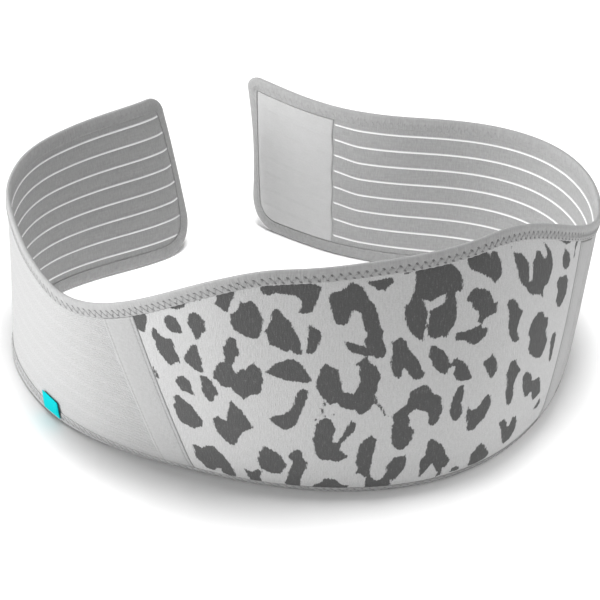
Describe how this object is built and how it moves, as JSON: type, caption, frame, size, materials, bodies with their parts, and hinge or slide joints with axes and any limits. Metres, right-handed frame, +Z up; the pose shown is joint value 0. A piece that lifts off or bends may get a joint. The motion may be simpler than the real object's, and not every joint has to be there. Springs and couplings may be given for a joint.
{
  "type": "maternity support belt",
  "caption": "Open cloth support belt with ribbed elastic wings, a taller printed front panel, bound edges and a hook patch inside one end.",
  "frame": {"origin": "on the floor, under the middle of the belt's bounding box as it stands open", "axes": "+Z up, the printed panel faces -Y, the wings' free ends are at +Y and the hook patch is on the end towards +X"},
  "size_m": [0.4476, 0.382, 0.213],
  "materials": {
    "printed_knit": "matt grey knit with dark grey leopard spots",
    "wing_elastic": "pale grey elastic, short loop pile outside, woven ribs inside",
    "join_tape": "matt pale grey tape, stitched near both edges",
    "binding_tape": "matt mid grey stretch tape with a cover stitch",
    "hook_tape": "smooth pale grey hook tape",
    "label_tape": "smooth turquoise woven tape, bare"
  },
  "bodies": {
    "root": {"front_panel": "printed_knit", "left_wing": "wing_elastic", "right_wing": "wing_elastic", "left_join_strip": "join_tape", "right_join_strip": "join_tape", "edge_binding": "binding_tape", "hook_patch": "hook_tape", "side_label": "label_tape"}
  },
  "joints": []
}
